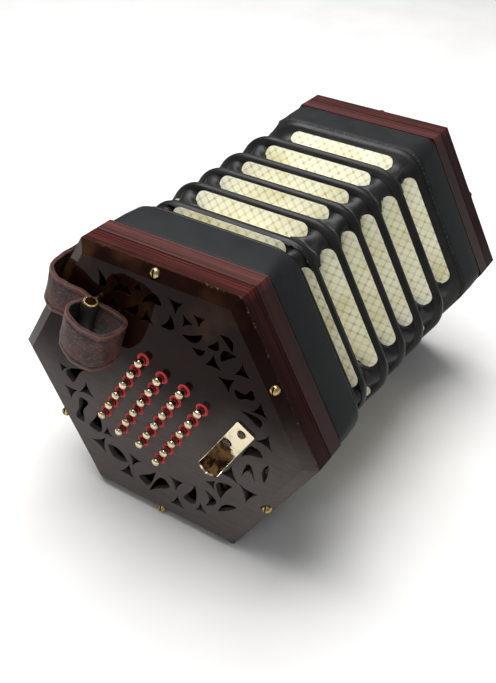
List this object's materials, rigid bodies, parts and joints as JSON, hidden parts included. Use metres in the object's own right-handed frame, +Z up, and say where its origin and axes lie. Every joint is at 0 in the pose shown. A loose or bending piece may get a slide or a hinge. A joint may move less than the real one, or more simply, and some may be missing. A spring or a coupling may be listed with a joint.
{
  "type": "concertina",
  "caption": "Hexagonal concertina with fretted wooden ends, finger buttons, thumb straps, finger plates and a folding leather-bound bellows.",
  "frame": {"origin": "bottom centre, on the surface under the flat that the instrument rests on, midway between its ends", "axes": "+X along the bellows from the left-hand end to the right-hand end, +Z up"},
  "size_m": [0.2946, 0.1848, 0.16],
  "materials": {
    "end_panel": "polished dark rosewood",
    "rosewood": "satin reddish rosewood",
    "pale_wood": "plain sycamore",
    "brass": "aged brass",
    "nickel": "polished nickel silver",
    "red_felt": "red felt",
    "strap_leather": "worn dark brown leather",
    "frame_leather": "smooth black leather",
    "ridge_leather": "black leather binding",
    "bellows_card": "black leather gussets and cream printed papers on card"
  },
  "bodies": {
    "left_end": {"lh_end_plate": "end_panel", "lh_action_box": "rosewood", "lh_action_board": "pale_wood", "lh_levers": "brass", "lh_button_bushings": "red_felt", "lh_end_bolts": "brass", "lh_reed_pan": "pale_wood", "lh_reeds": "brass", "lh_bellows_frame": "frame_leather", "lh_thumb_strap": "strap_leather", "lh_strap_bridge": "brass", "lh_finger_plate": "nickel", "lh_screws": "brass", "bellows_skin": "bellows_card"},
    "lh_button_11": {"lh_button_11": "nickel"},
    "lh_button_12": {"lh_button_12": "nickel"},
    "lh_button_13": {"lh_button_13": "nickel"},
    "lh_button_14": {"lh_button_14": "nickel"},
    "lh_button_15": {"lh_button_15": "nickel"},
    "lh_button_16": {"lh_button_16": "nickel"},
    "lh_button_21": {"lh_button_21": "nickel"},
    "lh_button_22": {"lh_button_22": "nickel"},
    "lh_button_23": {"lh_button_23": "nickel"},
    "lh_button_24": {"lh_button_24": "nickel"},
    "lh_button_25": {"lh_button_25": "nickel"},
    "lh_button_26": {"lh_button_26": "nickel"},
    "lh_button_31": {"lh_button_31": "nickel"},
    "lh_button_32": {"lh_button_32": "nickel"},
    "lh_button_33": {"lh_button_33": "nickel"},
    "lh_button_34": {"lh_button_34": "nickel"},
    "lh_button_35": {"lh_button_35": "nickel"},
    "lh_button_36": {"lh_button_36": "nickel"},
    "lh_button_41": {"lh_button_41": "nickel"},
    "lh_button_42": {"lh_button_42": "nickel"},
    "lh_button_43": {"lh_button_43": "nickel"},
    "lh_button_44": {"lh_button_44": "nickel"},
    "lh_button_45": {"lh_button_45": "nickel"},
    "lh_button_46": {"lh_button_46": "nickel"},
    "ridge_1": {"bellows_ridge_1": "ridge_leather"},
    "ridge_2": {"bellows_ridge_2": "ridge_leather"},
    "ridge_3": {"bellows_ridge_3": "ridge_leather"},
    "ridge_4": {"bellows_ridge_4": "ridge_leather"},
    "ridge_5": {"bellows_ridge_5": "ridge_leather"},
    "right_end": {"rh_end_plate": "end_panel", "rh_action_box": "rosewood", "rh_action_board": "pale_wood", "rh_levers": "brass", "rh_button_bushings": "red_felt", "rh_end_bolts": "brass", "rh_reed_pan": "pale_wood", "rh_reeds": "brass", "rh_bellows_frame": "frame_leather", "rh_thumb_strap": "strap_leather", "rh_finger_plate": "nickel", "rh_fixings": "brass"},
    "rh_button_row_1": {"rh_button_row_1": "nickel"},
    "rh_button_row_2": {"rh_button_row_2": "nickel"},
    "rh_button_row_3": {"rh_button_row_3": "nickel"},
    "rh_button_row_4": {"rh_button_row_4": "nickel"}
  },
  "joints": [
    {"name": "lh_press_11", "type": "slide", "parent": "left_end", "child": "lh_button_11", "axis": [1, 0, 0], "range_m": [0, 0.003], "stiffness_N_per_m": 200, "springref_m": -0.001, "deforming": ["lh_levers"]},
    {"name": "lh_press_12", "type": "slide", "parent": "left_end", "child": "lh_button_12", "axis": [1, 0, 0], "range_m": [0, 0.003], "stiffness_N_per_m": 200, "springref_m": -0.001, "deforming": ["lh_levers"]},
    {"name": "lh_press_13", "type": "slide", "parent": "left_end", "child": "lh_button_13", "axis": [1, 0, 0], "range_m": [0, 0.003], "stiffness_N_per_m": 200, "springref_m": -0.001, "deforming": ["lh_levers"]},
    {"name": "lh_press_14", "type": "slide", "parent": "left_end", "child": "lh_button_14", "axis": [1, 0, 0], "range_m": [0, 0.003], "stiffness_N_per_m": 200, "springref_m": -0.001, "deforming": ["lh_levers"]},
    {"name": "lh_press_15", "type": "slide", "parent": "left_end", "child": "lh_button_15", "axis": [1, 0, 0], "range_m": [0, 0.003], "stiffness_N_per_m": 200, "springref_m": -0.001, "deforming": ["lh_levers"]},
    {"name": "lh_press_16", "type": "slide", "parent": "left_end", "child": "lh_button_16", "axis": [1, 0, 0], "range_m": [0, 0.003], "stiffness_N_per_m": 200, "springref_m": -0.001, "deforming": ["lh_levers"]},
    {"name": "lh_press_21", "type": "slide", "parent": "left_end", "child": "lh_button_21", "axis": [1, 0, 0], "range_m": [0, 0.003], "stiffness_N_per_m": 200, "springref_m": -0.001, "deforming": ["lh_levers"]},
    {"name": "lh_press_22", "type": "slide", "parent": "left_end", "child": "lh_button_22", "axis": [1, 0, 0], "range_m": [0, 0.003], "stiffness_N_per_m": 200, "springref_m": -0.001, "deforming": ["lh_levers"]},
    {"name": "lh_press_23", "type": "slide", "parent": "left_end", "child": "lh_button_23", "axis": [1, 0, 0], "range_m": [0, 0.003], "stiffness_N_per_m": 200, "springref_m": -0.001, "deforming": ["lh_levers"]},
    {"name": "lh_press_24", "type": "slide", "parent": "left_end", "child": "lh_button_24", "axis": [1, 0, 0], "range_m": [0, 0.003], "stiffness_N_per_m": 200, "springref_m": -0.001, "deforming": ["lh_levers"]},
    {"name": "lh_press_25", "type": "slide", "parent": "left_end", "child": "lh_button_25", "axis": [1, 0, 0], "range_m": [0, 0.003], "stiffness_N_per_m": 200, "springref_m": -0.001, "deforming": ["lh_levers"]},
    {"name": "lh_press_26", "type": "slide", "parent": "left_end", "child": "lh_button_26", "axis": [1, 0, 0], "range_m": [0, 0.003], "stiffness_N_per_m": 200, "springref_m": -0.001, "deforming": ["lh_levers"]},
    {"name": "lh_press_31", "type": "slide", "parent": "left_end", "child": "lh_button_31", "axis": [1, 0, 0], "range_m": [0, 0.003], "stiffness_N_per_m": 200, "springref_m": -0.001, "deforming": ["lh_levers"]},
    {"name": "lh_press_32", "type": "slide", "parent": "left_end", "child": "lh_button_32", "axis": [1, 0, 0], "range_m": [0, 0.003], "stiffness_N_per_m": 200, "springref_m": -0.001, "deforming": ["lh_levers"]},
    {"name": "lh_press_33", "type": "slide", "parent": "left_end", "child": "lh_button_33", "axis": [1, 0, 0], "range_m": [0, 0.003], "stiffness_N_per_m": 200, "springref_m": -0.001, "deforming": ["lh_levers"]},
    {"name": "lh_press_34", "type": "slide", "parent": "left_end", "child": "lh_button_34", "axis": [1, 0, 0], "range_m": [0, 0.003], "stiffness_N_per_m": 200, "springref_m": -0.001, "deforming": ["lh_levers"]},
    {"name": "lh_press_35", "type": "slide", "parent": "left_end", "child": "lh_button_35", "axis": [1, 0, 0], "range_m": [0, 0.003], "stiffness_N_per_m": 200, "springref_m": -0.001, "deforming": ["lh_levers"]},
    {"name": "lh_press_36", "type": "slide", "parent": "left_end", "child": "lh_button_36", "axis": [1, 0, 0], "range_m": [0, 0.003], "stiffness_N_per_m": 200, "springref_m": -0.001, "deforming": ["lh_levers"]},
    {"name": "lh_press_41", "type": "slide", "parent": "left_end", "child": "lh_button_41", "axis": [1, 0, 0], "range_m": [0, 0.003], "stiffness_N_per_m": 200, "springref_m": -0.001, "deforming": ["lh_levers"]},
    {"name": "lh_press_42", "type": "slide", "parent": "left_end", "child": "lh_button_42", "axis": [1, 0, 0], "range_m": [0, 0.003], "stiffness_N_per_m": 200, "springref_m": -0.001, "deforming": ["lh_levers"]},
    {"name": "lh_press_43", "type": "slide", "parent": "left_end", "child": "lh_button_43", "axis": [1, 0, 0], "range_m": [0, 0.003], "stiffness_N_per_m": 200, "springref_m": -0.001, "deforming": ["lh_levers"]},
    {"name": "lh_press_44", "type": "slide", "parent": "left_end", "child": "lh_button_44", "axis": [1, 0, 0], "range_m": [0, 0.003], "stiffness_N_per_m": 200, "springref_m": -0.001, "deforming": ["lh_levers"]},
    {"name": "lh_press_45", "type": "slide", "parent": "left_end", "child": "lh_button_45", "axis": [1, 0, 0], "range_m": [0, 0.003], "stiffness_N_per_m": 200, "springref_m": -0.001, "deforming": ["lh_levers"]},
    {"name": "lh_press_46", "type": "slide", "parent": "left_end", "child": "lh_button_46", "axis": [1, 0, 0], "range_m": [0, 0.003], "stiffness_N_per_m": 200, "springref_m": -0.001, "deforming": ["lh_levers"]},
    {"name": "fold_1", "type": "slide", "parent": "left_end", "child": "ridge_1", "axis": [1, 0, 0], "range_m": [-0.00843, 0.00569], "deforming": ["bellows_skin"]},
    {"name": "fold_2", "type": "slide", "parent": "ridge_1", "child": "ridge_2", "axis": [1, 0, 0], "range_m": [-0.01497, 0.01009], "deforming": ["bellows_skin"]},
    {"name": "fold_3", "type": "slide", "parent": "ridge_2", "child": "ridge_3", "axis": [1, 0, 0], "range_m": [-0.01435, 0.00967], "deforming": ["bellows_skin"]},
    {"name": "fold_4", "type": "slide", "parent": "ridge_3", "child": "ridge_4", "axis": [1, 0, 0], "range_m": [-0.01435, 0.00967], "deforming": ["bellows_skin"]},
    {"name": "fold_5", "type": "slide", "parent": "ridge_4", "child": "ridge_5", "axis": [1, 0, 0], "range_m": [-0.01746, 0.01177], "deforming": ["bellows_skin"]},
    {"name": "fold_6", "type": "slide", "parent": "ridge_5", "child": "right_end", "axis": [1, 0, 0], "range_m": [-0.019, 0.0128], "deforming": ["bellows_skin"]},
    {"name": "rh_press_row_1", "type": "slide", "parent": "right_end", "child": "rh_button_row_1", "axis": [-1, 0, 0], "range_m": [0, 0.003], "stiffness_N_per_m": 600, "springref_m": -0.001, "deforming": ["rh_levers"]},
    {"name": "rh_press_row_2", "type": "slide", "parent": "right_end", "child": "rh_button_row_2", "axis": [-1, 0, 0], "range_m": [0, 0.003], "stiffness_N_per_m": 600, "springref_m": -0.001, "deforming": ["rh_levers"]},
    {"name": "rh_press_row_3", "type": "slide", "parent": "right_end", "child": "rh_button_row_3", "axis": [-1, 0, 0], "range_m": [0, 0.003], "stiffness_N_per_m": 600, "springref_m": -0.001, "deforming": ["rh_levers"]},
    {"name": "rh_press_row_4", "type": "slide", "parent": "right_end", "child": "rh_button_row_4", "axis": [-1, 0, 0], "range_m": [0, 0.003], "stiffness_N_per_m": 600, "springref_m": -0.001, "deforming": ["rh_levers"]}
  ],
  "couplings": [
    {"joint": "fold_1", "follows": "fold_6", "ratio": 0.44262},
    {"joint": "fold_2", "follows": "fold_6", "ratio": 0.78688},
    {"joint": "fold_3", "follows": "fold_6", "ratio": 0.7541},
    {"joint": "fold_4", "follows": "fold_6", "ratio": 0.7541},
    {"joint": "fold_5", "follows": "fold_6", "ratio": 0.91803}
  ]
}
